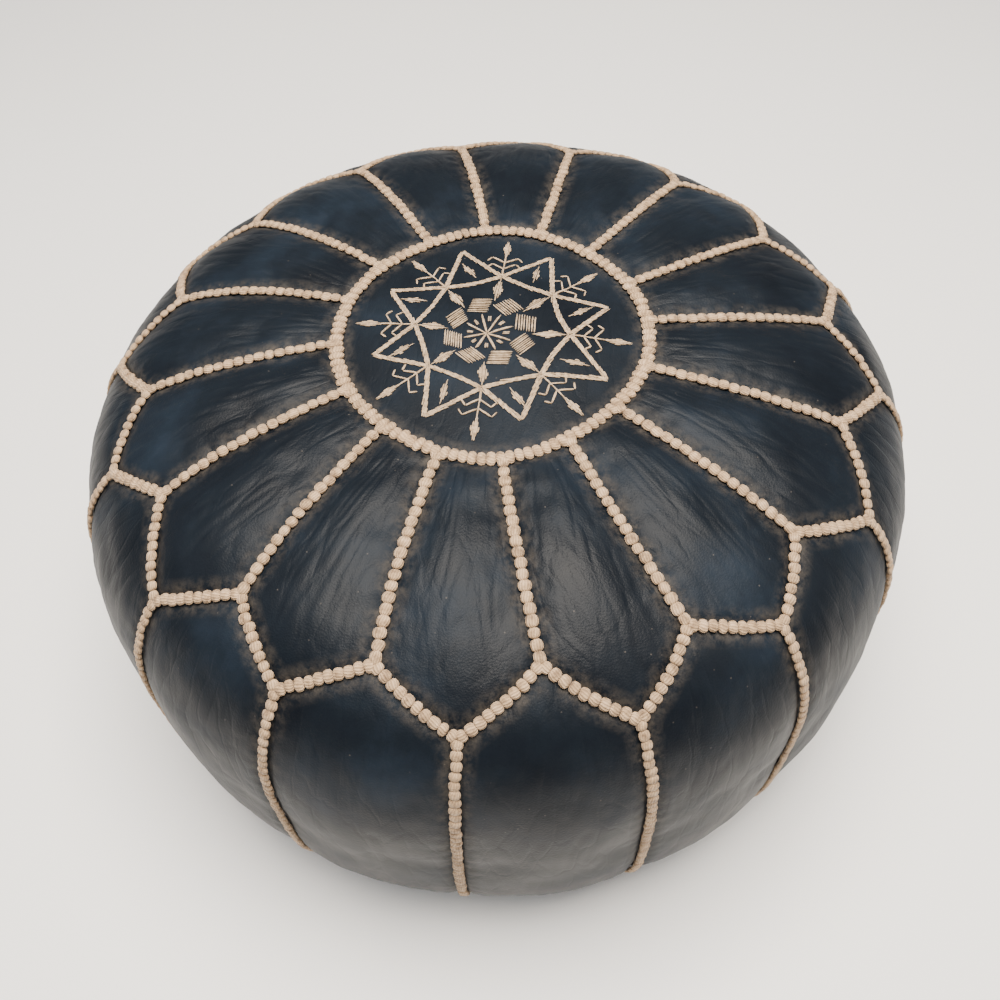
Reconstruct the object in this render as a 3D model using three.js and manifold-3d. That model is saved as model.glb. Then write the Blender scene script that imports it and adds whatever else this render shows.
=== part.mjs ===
// Moroccan leather pouf, in millimetres. +Z is up and the origin is on the floor, under the crown.
// A round goatskin cover is sewn from an embroidered medallion, a ring of petals, a ring of side
// panels and a base in two halves with a zip between them. Inside are a cotton bag and its filling.

import * as THREE from "three";
import { mergeVertices } from "three/addons/utils/BufferGeometryUtils.js";
import Module from "manifold-3d";

const wasm = await Module();
wasm.setup();

// ---- driving dimensions ----

const panelCount = 16;
const leather = 1.6;
const seamGap = 0.3;

const body = {
  radius: 263, // at the seams, halfway up
  waistHeight: 145.5,
  crownRise: 148, // from the widest level up to the crown
  crownPower: 3.7, // of the superellipse that the upper half follows
  footDrop: 141, // from the widest level down to the base
  footPower: 3.2,
  footFlat: 105, // the base runs level out to here
};

const ring = { radius: 95, lean: THREE.MathUtils.degToRad(-2.4) }; // the ring is sewn on slightly turned
const zigzag = { upperRadius: 206, lowerRadius: 235 }; // where its corners lie
const base = { radius: 165, rimBand: 18, dish: 9, dishBand: 40 };
const rise = { petal: 5, side: 2.8, medallion: 5 }; // how far each panel swells past its seams
const star = { count: 8, innerRadius: 47.5, outerRadius: 74 };

const thread = {
  ring: { width: 8.4, foot: 0.5, top: 2.9 },
  ray: { width: 6.6, foot: 0.5, top: 2.9 },
  zigzag: { width: 6.8, foot: 0.5, top: 2.9 },
  base: { width: 5, foot: 0.5, top: 2 },
  star: { width: 3.2, foot: 0.5, top: 1.6 },
};

const inner = { bagLift: -4.2, bagWall: 1, bagMouth: 70, bagFloor: 14.5, fillLift: -7.8, fillFloor: 18.5 };

const zip = {
  slotHalfLength: 140,
  slotHalfWidth: 7,
  tape: { length: 290, near: 1.2, width: 16, bottom: 10.8, thickness: 0.6 },
  coil: { length: 266.4, y: 2.3, z: 9.1, radius: 1.6, flatten: 0.82 },
  stop: { length: 3, width: 8, height: 2.6 },
  sliderX: 122, // closed
  pivotZ: 5.1,
};

// ---- colours and finishes ----

function finish(color, roughness, metalness = 0) {
  return new THREE.MeshStandardMaterial({ color, roughness, metalness });
}

const finishes = {
  goatskin: finish("#343a42", 0.5),
  thread: finish("#c3ae99", 0.8),
  lining: finish("#cfc6b4", 0.9),
  filling: finish("#a89f92", 0.95),
  tape: finish("#22252a", 0.85),
  coil: finish("#2a2d31", 0.5),
  brass: finish("#a88a52", 0.35, 1),
};

const pouf = new THREE.Group();

function add(name, geometry, material) {
  const mesh = new THREE.Mesh(geometry, material);
  mesh.name = name;
  pouf.add(mesh);
  return mesh;
}

// ---- the outline that the seams follow ----

// The crown is a superellipse about the waist. Below it, a smaller superellipse corner rounds in to
// a level base.
class SeamOutline extends THREE.Curve {
  getPoint(t, target = new THREE.Vector2()) {
    const waist = 0.5;
    const foot = 0.85;
    if (t <= waist) {
      const angle = (t / waist) * (Math.PI / 2);
      const reach = superReach(Math.sin(angle) / body.radius, Math.cos(angle) / body.crownRise, body.crownPower);
      return target.set(reach * Math.sin(angle), body.waistHeight + reach * Math.cos(angle));
    }
    const corner = body.radius - body.footFlat;
    if (t <= foot) {
      const angle = ((t - waist) / (foot - waist)) * (Math.PI / 2);
      const reach = superReach(Math.cos(angle) / corner, Math.sin(angle) / body.footDrop, body.footPower);
      return target.set(body.footFlat + reach * Math.cos(angle), body.waistHeight - reach * Math.sin(angle));
    }
    const left = (1 - t) / (1 - foot);
    return target.set(body.footFlat * left, body.waistHeight - body.footDrop);
  }
}

function superReach(a, b, power) {
  return (Math.abs(a) ** power + Math.abs(b) ** power) ** (-1 / power);
}

const outline = new SeamOutline();
outline.arcLengthDivisions = 1500;
const outlineLength = outline.getLength();

// Rows of vertices sit closer where the outline turns: `turned` grows with length and with turning.
const stepCount = 500;
const turned = [0];
for (let i = 1; i <= stepCount; i++) {
  const before = outline.getTangentAt((i - 1) / stepCount);
  const after = outline.getTangentAt(i / stepCount);
  const turn = Math.abs(before.cross(after));
  turned.push(turned[i - 1] + outlineLength / stepCount / 150 + turn);
}

function turnedAt(arc) {
  const place = THREE.MathUtils.clamp(arc / outlineLength, 0, 1) * stepCount;
  const low = Math.min(Math.floor(place), stepCount - 1);
  return THREE.MathUtils.lerp(turned[low], turned[low + 1], place - low);
}

function arcWhere(test, low, high) {
  for (let i = 0; i < 50; i++) {
    const middle = (low + high) / 2;
    if (test(middle)) high = middle;
    else low = middle;
  }
  return (low + high) / 2;
}

function rowArc(from, to, share) {
  const wanted = THREE.MathUtils.lerp(turnedAt(from), turnedAt(to), share);
  return arcWhere((arc) => turnedAt(arc) >= wanted, from, to);
}

// A point of the outline, moved out along its normal by lift.
function outlinePoint(arc, lift = 0) {
  const share = THREE.MathUtils.clamp(arc / outlineLength, 0, 1);
  const point = outline.getPointAt(share);
  const along = outline.getTangentAt(share);
  return new THREE.Vector2(point.x - along.y * lift, point.y + along.x * lift);
}

const waistArc = arcWhere((arc) => outlinePoint(arc).y <= body.waistHeight, 0, outlineLength);

function upperArc(radius) {
  return arcWhere((arc) => outlinePoint(arc).x >= radius, 0, waistArc);
}

function lowerArc(radius) {
  return arcWhere((arc) => outlinePoint(arc).x <= radius, waistArc, outlineLength);
}

const arcs = {
  ring: upperArc(ring.radius),
  upper: upperArc(zigzag.upperRadius),
  lower: upperArc(zigzag.lowerRadius),
  base: lowerArc(base.radius),
};

const pitch = (2 * Math.PI) / panelCount;
const front = -Math.PI / 2;

// The seams between petals lean from the turned ring out to their true places at the zigzag.
function leanAt(arc) {
  return ring.lean * THREE.MathUtils.clamp((arcs.upper - arc) / (arcs.upper - arcs.ring), 0, 1);
}

function onCover(arc, angle, lift) {
  const point = outlinePoint(arc, lift);
  return new THREE.Vector3(point.x * Math.cos(angle), point.x * Math.sin(angle), point.y);
}

// ---- bending a plain shape into place ----

// Gives every vertex of a three.js shape the place that the function says.
function bent(geometry, place) {
  geometry.deleteAttribute("normal");
  geometry.deleteAttribute("uv");
  const shape = mergeVertices(geometry);
  const points = shape.attributes.position;
  const from = new THREE.Vector3();
  for (let i = 0; i < points.count; i++) {
    from.fromBufferAttribute(points, i);
    const to = place(from.x, from.y, from.z);
    points.setXYZ(i, to.x, to.y, to.z);
  }
  shape.computeVertexNormals();
  return shape;
}

function toSolid(geometry) {
  const copy = geometry.clone();
  copy.deleteAttribute("normal");
  copy.deleteAttribute("uv");
  const merged = mergeVertices(copy);
  const vertProperties = new Float32Array(merged.attributes.position.array);
  const triVerts = new Uint32Array(merged.index.array);
  return new wasm.Manifold(new wasm.Mesh({ numProp: 3, vertProperties, triVerts }));
}

function toGeometry(solid) {
  const mesh = solid.getMesh();
  const geometry = new THREE.BufferGeometry();
  geometry.setAttribute("position", new THREE.BufferAttribute(mesh.vertProperties, 3));
  geometry.setIndex(new THREE.BufferAttribute(mesh.triVerts, 1));
  geometry.computeVertexNormals();
  return geometry;
}

function joined(geometries) {
  return toGeometry(geometries.map(toSolid).reduce((whole, piece) => whole.add(piece)));
}

// ---- leather panels ----

// A panel is a thin box, bent so that x runs round the pouf, y runs up it and z is its thickness.
// Both of its side edges are seams, and it swells between them.
function panel(centre, columns, rows, topArc, bottomArc, swell) {
  return bent(new THREE.BoxGeometry(2, 1, 1, columns, rows, 1), (across, up, out) => {
    const down = 0.5 - up;
    const arc = rowArc(topArc(Math.abs(across)), bottomArc(Math.abs(across)), down);
    const edge = pitch / 2 - seamGap / 2 / outlinePoint(arc).x;
    const crowned = swell * (1 - across ** 2) ** 2 * Math.sin(Math.PI * down);
    const lift = crowned + (out > 0 ? 0 : -leather);
    return onCover(arc, centre + across * edge + leanAt(arc), lift);
  });
}

// The zigzag seam at a place between a panel's middle (0) and its edge (1), as a petal sees it.
function zigzagArc(offCentre) {
  return THREE.MathUtils.lerp(arcs.lower, arcs.upper, offCentre);
}

for (let i = 0; i < panelCount; i++) {
  const number = String(i + 1).padStart(2, "0");
  const petal = panel(
    front + i * pitch, 4, 6,
    () => arcs.ring + seamGap / 2,
    (offCentre) => zigzagArc(offCentre) - seamGap,
    rise.petal,
  );
  add(`petal_${number}`, petal, finishes.goatskin);
  const side = panel(
    front + (i + 0.5) * pitch, 4, 8,
    (offCentre) => zigzagArc(1 - offCentre) + seamGap,
    () => arcs.base - seamGap / 2,
    rise.side,
  );
  add(`side_panel_${number}`, side, finishes.goatskin);
}

// ---- medallion ----

function medallionHeight(radius) {
  const crown = outlinePoint(upperArc(Math.max(radius, 1))).y;
  return crown + rise.medallion * (1 - (radius / ring.radius) ** 2) ** 2;
}

const medallionEdge = ring.radius - seamGap / 2;
const medallionRadii = [0, 40, 70, 88, medallionEdge];
const medallionOutside = medallionRadii.map((r) => new THREE.Vector2(r, medallionHeight(r)));
const medallionInside = medallionOutside.map((p) => new THREE.Vector2(p.x, p.y - leather));
const medallion = new THREE.LatheGeometry([...medallionInside, ...medallionOutside.reverse()], 32);
medallion.rotateX(Math.PI / 2);
medallion.rotateZ(ring.lean);
add("medallion", medallion, finishes.goatskin);

// ---- stitching ----

// A stitched seam's section: a flat bar whose top is eased down at its sides and whose underside is
// eased up there, to clear the leather.
function section(style, x, z) {
  const side = Math.abs(x);
  const depth = style.top - style.foot;
  const height = z > 0 ? style.top - 0.25 * depth * side : style.foot + 0.35 * depth * side;
  return { offset: (x * style.width) / 2, height };
}

const loopCorners = [[1, -1], [1, 1], [0, 1], [-1, 1], [-1, -1], [0, -1]];

// A seam that runs right round: place gets the angle, the offset across the seam and the height.
function stitchedLoop(style, segments, place) {
  const tube = 0.1;
  return bent(new THREE.TorusGeometry(1, tube, loopCorners.length, segments), (x, y, z) => {
    const turn = Math.atan2(z, Math.hypot(x, y) - 1);
    const corner = Math.round((turn / (2 * Math.PI)) * loopCorners.length + loopCorners.length);
    const [across, up] = loopCorners[corner % loopCorners.length];
    const { offset, height } = section(style, across, up);
    return place(Math.atan2(y, x), offset, height);
  });
}

// A seam that runs down the cover at one angle, with a row at each of the panel's own rows.
function stitchedLine(style, angle, from, to, rows, firstArc) {
  return bent(new THREE.BoxGeometry(2, 1, 1, 2, rows, 1), (x, y, z) => {
    const arc = Math.max(rowArc(from, to, 0.5 - y), firstArc);
    const { offset, height } = section(style, x, z);
    return onCover(arc, angle + offset / outlinePoint(arc).x + leanAt(arc), height);
  });
}

const cornerClearance = 5.2; // between a seam's end and the zigzag's corner
const loopSegments = 4 * panelCount;

function ringLoop(style, arc) {
  return stitchedLoop(style, loopSegments, (angle, offset, height) => {
    return onCover(arc + offset, angle + leanAt(arc), height);
  });
}

const rays = [];
const downSeams = [];
for (let i = 0; i < panelCount; i++) {
  const rayAngle = front + (i + 0.5) * pitch;
  rays.push(stitchedLine(thread.ray, rayAngle, arcs.ring, arcs.upper - cornerClearance, 6, arcs.ring));
  const downAngle = front + i * pitch;
  const start = arcs.lower + cornerClearance;
  downSeams.push(stitchedLine(thread.ray, downAngle, arcs.lower, arcs.base, 8, start));
}
add("petal_stitching", joined([ringLoop(thread.ring, arcs.ring), ...rays]), finishes.thread);
add("side_stitching", joined([ringLoop(thread.base, arcs.base), ...downSeams]), finishes.thread);

const legWidth = ((zigzag.upperRadius + zigzag.lowerRadius) / 2) * (pitch / 2);
const legSlope = Math.atan2(arcs.lower - arcs.upper, legWidth);
const zigzagLoop = stitchedLoop(thread.zigzag, loopSegments, (angle, offset, height) => {
  const panels = (angle - front) / pitch;
  const offCentre = 2 * Math.abs(panels - Math.round(panels));
  return onCover(zigzagArc(offCentre) + offset / Math.cos(legSlope), angle, height);
});
add("zigzag_stitching", zigzagLoop, finishes.thread);

// The embroidered star has inner corners every 45 degrees from the front, outer corners between
// them and straight sides.
const starStep = Math.PI / star.count;

function starRadius(fromInner) {
  const turned = fromInner * starStep;
  const { innerRadius: near, outerRadius: far } = star;
  return (near * far * Math.sin(starStep)) / (near * Math.sin(turned) + far * Math.sin(starStep - turned));
}

const starSlope = Math.atan2(star.outerRadius - star.innerRadius, starRadius(0.5) * starStep);
const starLoop = stitchedLoop(thread.star, 6 * star.count, (angle, offset, height) => {
  const steps = Math.abs(((angle - front) / starStep) % 2);
  const radius = starRadius(Math.min(steps, 2 - steps)) + offset / Math.cos(starSlope);
  const turn = angle + ring.lean;
  return new THREE.Vector3(radius * Math.cos(turn), radius * Math.sin(turn), medallionHeight(radius) + height);
});
add("medallion_embroidery", starLoop, finishes.thread);

// ---- base ----

function eased(share) {
  const t = THREE.MathUtils.clamp(share, 0, 1);
  return t * t * (3 - 2 * t);
}

const rimHeight = outlinePoint(arcs.base).y;

// The base lies level on the floor, is drawn up beside the zip and rises to the side panels.
function baseHeight(x, y) {
  const pastX = Math.max(Math.abs(x) - zip.slotHalfLength, 0);
  const pastY = Math.max(Math.abs(y) - zip.slotHalfWidth, 0);
  const dish = base.dish * eased(1 - Math.hypot(pastX, pastY) / base.dishBand);
  const rim = eased(1 - (base.radius - Math.hypot(x, y)) / base.rimBand);
  return THREE.MathUtils.lerp(dish, rimHeight, rim);
}

function baseHalf(side) {
  const columns = 16;
  const rowOffsets = [0, 13, 26, 40, -18, -9, 0]; // the last three are measured back from the rim
  const rows = rowOffsets.length - 1;
  const rimRadius = base.radius - seamGap / 2;
  return bent(new THREE.BoxGeometry(columns, rows, 1, columns, rows, 1), (x, y, z) => {
    const angle = (Math.PI * (columns / 2 - x)) / columns;
    const atEnd = Math.abs(x) === columns / 2;
    const slotEdge = atEnd ? seamGap / 2 : zip.slotHalfWidth;
    const slotX = (zip.slotHalfLength + 1) * Math.cos(angle);
    const start = new THREE.Vector2(slotX, slotEdge);
    const rimY = Math.max(rimRadius * Math.sin(angle), seamGap / 2);
    const end = new THREE.Vector2(rimRadius * Math.cos(angle), rimY);
    const length = start.distanceTo(end);
    const squeeze = Math.min(1, length / (base.dishBand + base.rimBand + 5));
    const row = Math.round(y + rows / 2);
    const offset = rowOffsets[row] * squeeze;
    const along = row > 3 ? length + offset : offset;
    const spot = start.lerp(end, along / length);
    const height = baseHeight(spot.x, spot.y) + (z > 0 ? leather : 0);
    return new THREE.Vector3(spot.x * side, spot.y * side, height);
  });
}

add("base_panel_rear", baseHalf(1), finishes.goatskin);
add("base_panel_front", baseHalf(-1), finishes.goatskin);

// ---- cotton bag and filling ----

const lathed = 32;

function innerProfile(lift, floor, endArc, rows) {
  const points = [];
  for (let i = 0; i <= rows; i++) {
    const point = outlinePoint(rowArc(0, endArc, i / rows), lift);
    points.push(new THREE.Vector2(Math.max(point.x, 0), Math.max(point.y, floor)));
  }
  points[0].x = 0;
  return points;
}

const mouthArc = lowerArc(inner.bagMouth);
const bagOutside = innerProfile(inner.bagLift, inner.bagFloor, mouthArc, 14);
const bagInside = innerProfile(inner.bagLift - inner.bagWall, inner.bagFloor + inner.bagWall, mouthArc, 14);
const bag = new THREE.LatheGeometry([...bagInside, ...bagOutside.reverse()], lathed);
bag.rotateX(Math.PI / 2);
add("lining_bag", bag, finishes.lining);

const fillOutside = innerProfile(inner.fillLift, inner.fillFloor, outlineLength, 14);
fillOutside.at(-1).x = 0;
const filling = new THREE.LatheGeometry(fillOutside.reverse(), lathed);
filling.rotateX(Math.PI / 2);
add("filling", filling, finishes.filling);

// ---- zip ----

function box(sizeX, sizeY, sizeZ, x, y, z) {
  return new THREE.BoxGeometry(sizeX, sizeY, sizeZ).translate(x, y, z);
}

for (const [name, side] of [["rear", 1], ["front", -1]]) {
  const { tape, coil } = zip;
  const tapeY = side * (tape.near + tape.width / 2);
  const tapeZ = tape.bottom + tape.thickness / 2;
  add(`zip_tape_${name}`, box(tape.length, tape.width, tape.thickness, 0, tapeY, tapeZ), finishes.tape);
  const teeth = new THREE.CylinderGeometry(coil.radius, coil.radius, coil.length, 8);
  teeth.rotateZ(Math.PI / 2);
  teeth.scale(1, 1, coil.flatten);
  teeth.translate(0, side * coil.y, coil.z);
  add(`zip_coil_${name}`, teeth, finishes.coil);
}

const stopX = zip.coil.length / 2 + 0.4 + zip.stop.length / 2;
for (const [name, x] of [["closed", stopX], ["open", -stopX]]) {
  const stop = box(zip.stop.length, zip.stop.width, zip.stop.height, x, 0, zip.coil.z);
  add(`zip_stop_${name}_end`, stop, finishes.brass);
}

// The slider's plates have a wide nose, where the coils part, and a narrower tail.
function sliderPlate(bottom, thickness) {
  const shape = new THREE.Shape();
  shape.moveTo(9, -3.6);
  shape.lineTo(10, -2.4);
  shape.lineTo(10, 2.4);
  shape.lineTo(9, 3.6);
  shape.lineTo(0, 5.5);
  shape.lineTo(-7.6, 5.5);
  shape.absarc(-7.6, 0, 5.5, Math.PI / 2, (3 * Math.PI) / 2);
  shape.lineTo(0, -5.5);
  const plate = new THREE.ExtrudeGeometry(shape, { depth: thickness, bevelEnabled: false, curveSegments: 6 });
  return plate.translate(0, 0, bottom);
}

// An arch under the slider, with the pull tab's pin inside it.
function sliderBridge() {
  const shape = new THREE.Shape();
  shape.moveTo(-5.2, 6.4);
  shape.lineTo(-5.2, 3.8);
  shape.lineTo(-4.4, 3);
  shape.lineTo(4.4, 3);
  shape.lineTo(5.2, 3.8);
  shape.lineTo(5.2, 6.4);
  shape.lineTo(3.6, 6.4);
  shape.lineTo(3.6, 4);
  shape.lineTo(-3.6, 4);
  shape.lineTo(-3.6, 6.4);
  const bridge = new THREE.ExtrudeGeometry(shape, { depth: 2, bevelEnabled: false });
  return bridge.rotateX(Math.PI / 2).translate(0, 1, 0);
}

const slider = joined([
  sliderPlate(6.2, 1.2),
  sliderPlate(11.9, 1),
  box(8, 1.2, 3.1, -4.5, 4.9, 8.85),
  box(8, 1.2, 3.1, -4.5, -4.9, 8.85),
  box(4.4, 0.7, 4.7, -8, 0, 9.65),
  sliderBridge(),
]);
slider.translate(zip.sliderX, 0, 0);
add("zip_slider", slider, finishes.brass);

function pullTab() {
  const thickness = 1.4;
  const outlineShape = new THREE.Shape();
  outlineShape.moveTo(0.7, -2.6);
  outlineShape.lineTo(0.7, 2.6);
  outlineShape.lineTo(-9, 2.6);
  outlineShape.lineTo(-12, 3.4);
  outlineShape.lineTo(-23, 3.4);
  outlineShape.absarc(-23, 0, 3.4, Math.PI / 2, (3 * Math.PI) / 2);
  outlineShape.lineTo(-12, -3.4);
  outlineShape.lineTo(-9, -2.6);
  const eye = new THREE.Path();
  eye.moveTo(-0.7, -1.4);
  eye.lineTo(-6.5, -1.4);
  eye.lineTo(-6.5, 1.4);
  eye.lineTo(-0.7, 1.4);
  const gripHole = new THREE.Path();
  gripHole.absellipse(-18, 0, 4.4, 1.5, 0, 2 * Math.PI, true);
  outlineShape.holes.push(eye, gripHole);
  const settings = { depth: thickness, bevelEnabled: false, curveSegments: 6 };
  return new THREE.ExtrudeGeometry(outlineShape, settings).translate(0, 0, -thickness / 2);
}

const pull = pullTab();
pull.translate(zip.sliderX, 0, zip.pivotZ);
add("zip_pull_tab", pull, finishes.brass);

export default pouf;
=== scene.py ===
"""A sewn goatskin pouf: cover panels, hand stitching, embroidery, base with a zip, bag and filling."""

import math

import bmesh
import bpy
import numpy as np
from bpy.props import FloatProperty, FloatVectorProperty, IntProperty, PointerProperty
from mathutils import Matrix, Vector, kdtree, noise


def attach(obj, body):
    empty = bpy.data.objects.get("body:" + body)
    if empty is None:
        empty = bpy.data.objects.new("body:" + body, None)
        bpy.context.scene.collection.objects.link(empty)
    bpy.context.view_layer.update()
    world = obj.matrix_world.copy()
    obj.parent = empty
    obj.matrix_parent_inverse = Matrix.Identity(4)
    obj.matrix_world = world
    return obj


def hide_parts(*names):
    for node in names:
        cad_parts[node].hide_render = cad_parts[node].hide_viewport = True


bl_info = {
    "name": "Goatskin Pouf",
    "version": (1, 0, 0),
    "blender": (4, 5, 0),
    "location": "View3D > Sidebar > Pouf",
    "description": "Builds a hand-sewn goatskin pouf piece by piece",
    "category": "Add Mesh",
}

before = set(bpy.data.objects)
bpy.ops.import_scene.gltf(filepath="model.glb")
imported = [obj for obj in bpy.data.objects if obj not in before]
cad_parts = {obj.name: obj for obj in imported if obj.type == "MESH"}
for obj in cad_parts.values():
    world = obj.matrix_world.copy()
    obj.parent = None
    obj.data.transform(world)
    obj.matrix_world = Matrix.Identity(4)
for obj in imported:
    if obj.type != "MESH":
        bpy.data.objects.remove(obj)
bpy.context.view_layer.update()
MM = 0.001

# ---- the outline that every seam lies on ----

PANELS = 16
PITCH = 2 * math.pi / PANELS
FRONT = -math.pi / 2
RADIUS = 0.263
WAIST = 0.1455
CROWN = {"rise": 0.148, "power": 3.7}
FOOT = {"drop": 0.141, "power": 3.2, "flat": 0.105}
RING_RADIUS = 0.0915
RING_LEAN = math.radians(-2.4)
BASE_RADIUS = 0.165
UPPER_RADIUS = 0.206  # the zigzag's inner corners
LOWER_RADIUS = 0.235  # the zigzag's outer corners
MEAN_RADIUS = 0.2


def superellipse(angle, across, rise, power):
    reach = (np.abs(np.sin(angle) / across) ** power + np.abs(np.cos(angle) / rise) ** power) ** (-1 / power)
    return reach * np.sin(angle), reach * np.cos(angle)


def make_outline(steps=1500):
    """Radius, height, length along and direction of the outline, from the crown to the middle of the base."""
    turn = np.linspace(0, math.pi / 2, steps)
    crown_r, crown_z = superellipse(turn, RADIUS, CROWN["rise"], CROWN["power"])
    foot_r, foot_z = superellipse(turn[::-1], RADIUS - FOOT["flat"], FOOT["drop"], FOOT["power"])
    flat = np.linspace(FOOT["flat"], 0, steps // 4)[1:]
    r = np.concatenate([crown_r, FOOT["flat"] + foot_r[1:], flat])
    z = np.concatenate([WAIST + crown_z, WAIST - foot_z[1:], np.full(len(flat), WAIST - FOOT["drop"])])
    arc = np.concatenate([[0], np.cumsum(np.hypot(np.diff(r), np.diff(z)))])
    dr, dz = np.gradient(r, arc), np.gradient(z, arc)
    length = np.hypot(dr, dz)
    return {"r": r, "z": z, "arc": arc, "dr": dr / length, "dz": dz / length, "waist": steps - 1}


OUTLINE = make_outline()


def upper_arc(radius):
    top = slice(0, OUTLINE["waist"] + 1)
    return float(np.interp(radius, OUTLINE["r"][top], OUTLINE["arc"][top]))


def lower_arc(radius):
    low = slice(OUTLINE["waist"], None)
    return float(np.interp(-radius, -OUTLINE["r"][low], OUTLINE["arc"][low]))


ARC = {
    "ring": upper_arc(RING_RADIUS),
    "upper": upper_arc(UPPER_RADIUS),
    "lower": upper_arc(LOWER_RADIUS),
    "base": lower_arc(BASE_RADIUS),
}
OVAL = 0.009  # a stuffed cover is never quite round: it is a little longer one way
OVAL_LEAN = 2.6


def eased(share):
    t = np.clip(share, 0, 1)
    return t * t * (3 - 2 * t)


def cover(arc, angle, lift=0.0):
    """A place on the cover: down the outline by arc, round by angle and out by lift."""
    arc, angle = np.asarray(arc, float), np.asarray(angle, float)
    dr, dz = np.interp(arc, OUTLINE["arc"], OUTLINE["dr"]), np.interp(arc, OUTLINE["arc"], OUTLINE["dz"])
    r = np.interp(arc, OUTLINE["arc"], OUTLINE["r"]) - dz * lift
    z = np.interp(arc, OUTLINE["arc"], OUTLINE["z"]) + dr * lift
    r = r * (1 + OVAL * eased(r / 0.06) * np.cos(2 * angle - OVAL_LEAN))
    return np.stack([r * np.cos(angle), r * np.sin(angle), z], -1)


# ---- the seams, sewn by hand and so never quite true ----

CHANCE = np.random.default_rng(16)
WOBBLE = {
    "ring": CHANCE.normal(0, 1.4 * MM, PANELS),
    "upper": CHANCE.normal(0, 2.4 * MM, (PANELS, 2)),
    "lower": CHANCE.normal(0, 2.6 * MM, (PANELS, 2)),
    "base": CHANCE.normal(0, 2.0 * MM, PANELS),
    "bow": CHANCE.normal(0, 1.1 * MM, (4, PANELS)),
    "round": CHANCE.normal(0, 0.45 * MM, (2, 5)),
}


def ring_arc(angle):
    waves = np.arange(2, 7)
    turned = np.multiply.outer(np.asarray(angle, float), waves)
    return ARC["ring"] + (np.cos(turned) * WOBBLE["round"][0] + np.sin(turned) * WOBBLE["round"][1]).sum(-1)


def ring_joint(i):
    angle = FRONT + (i + 0.5) * PITCH + RING_LEAN + WOBBLE["ring"][i % PANELS] / RING_RADIUS
    return float(ring_arc(angle)), angle


def upper_joint(i):
    along, down = WOBBLE["upper"][i % PANELS]
    return ARC["upper"] + down, FRONT + (i + 0.5) * PITCH + along / UPPER_RADIUS


def lower_joint(i):
    along, down = WOBBLE["lower"][i % PANELS]
    return ARC["lower"] + down, FRONT + i * PITCH + along / LOWER_RADIUS


def base_joint(i):
    return ARC["base"], FRONT + i * PITCH + WOBBLE["base"][i % PANELS] / BASE_RADIUS


def seam_between(start, end, bow, t):
    """Places (arc, angle) on a nearly straight seam from one joint to another."""
    t = np.asarray(t, float)
    arc = start[0] + (end[0] - start[0]) * t
    bend = bow * np.sin(math.pi * t) / MEAN_RADIUS
    return arc, start[1] + (end[1] - start[1]) * t + bend


def ray_seam(i, t):
    return seam_between(ring_joint(i), upper_joint(i), WOBBLE["bow"][0][i % PANELS], t)


def left_leg(i, t):
    return seam_between(upper_joint(i), lower_joint(i), WOBBLE["bow"][1][i % PANELS], t)


def right_leg(i, t):
    return seam_between(upper_joint(i), lower_joint(i + 1), WOBBLE["bow"][2][i % PANELS], t)


def down_seam(i, t):
    return seam_between(lower_joint(i), base_joint(i), WOBBLE["bow"][3][i % PANELS], t)


def along_ring(start, end, t):
    angle = start[1] + (end[1] - start[1]) * np.asarray(t, float)
    return ring_arc(angle), angle


def along_base(start, end, t):
    angle = start[1] + (end[1] - start[1]) * np.asarray(t, float)
    return np.full(angle.shape, ARC["base"]), angle


def two_legs(first, second, u):
    """One line made of two, each over half of u."""
    a, b = first(np.clip(2 * u, 0, 1)), second(np.clip(2 * u - 1, 0, 1))
    return np.where(u < 0.5, a[0], b[0]), np.where(u < 0.5, a[1], b[1])


def patch(top, bottom, left, right, u, v):
    """Fills in between four seam lines, each a function that gives arc and angle."""
    lines = [top(u), bottom(u), left(v), right(v)]
    corners = [[top(np.full_like(u, a))[k] for k in (0, 1)] for a in (0.0, 1.0)]
    low = [[bottom(np.full_like(u, a))[k] for k in (0, 1)] for a in (0.0, 1.0)]
    found = []
    for k in (0, 1):
        between = (1 - v) * lines[0][k] + v * lines[1][k] + (1 - u) * lines[2][k] + u * lines[3][k]
        mixed = (1 - v) * ((1 - u) * corners[0][k] + u * corners[1][k])
        mixed = mixed + v * ((1 - u) * low[0][k] + u * low[1][k])
        found.append(between - mixed)
    return found


def petal_patch(i, u, v):
    a, b = ring_joint(i - 1), ring_joint(i)
    return patch(
        lambda t: along_ring(a, b, t),
        lambda t: two_legs(lambda s: right_leg(i - 1, s), lambda s: left_leg(i, 1 - s), t),
        lambda t: ray_seam(i - 1, t),
        lambda t: ray_seam(i, t),
        u,
        v,
    )


def side_patch(i, u, v):
    a, b = base_joint(i), base_joint(i + 1)
    return patch(
        lambda t: two_legs(lambda s: left_leg(i, 1 - s), lambda s: right_leg(i, s), t),
        lambda t: along_base(a, b, t),
        lambda t: down_seam(i, t),
        lambda t: down_seam(i + 1, t),
        u,
        v,
    )


def all_seams(step):
    """Every stitched line of the cover as named lists of points about step apart."""
    found = {"ring": [], "ray": [], "zigzag": [], "down": [], "base": []}
    t = np.linspace(0, 1, 241)
    round_t = FRONT + 2 * math.pi * np.linspace(0, 1, 961)
    found["ring"].append((ring_arc(round_t), round_t))
    found["base"].append((np.full(961, ARC["base"]), round_t))
    for i in range(PANELS):
        found["ray"].append(ray_seam(i, t))
        found["zigzag"] += [left_leg(i, t), right_leg(i, t)]
        found["down"].append(down_seam(i, t))
    return {name: [spaced(line, step) for line in lines] for name, lines in found.items()}


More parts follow.
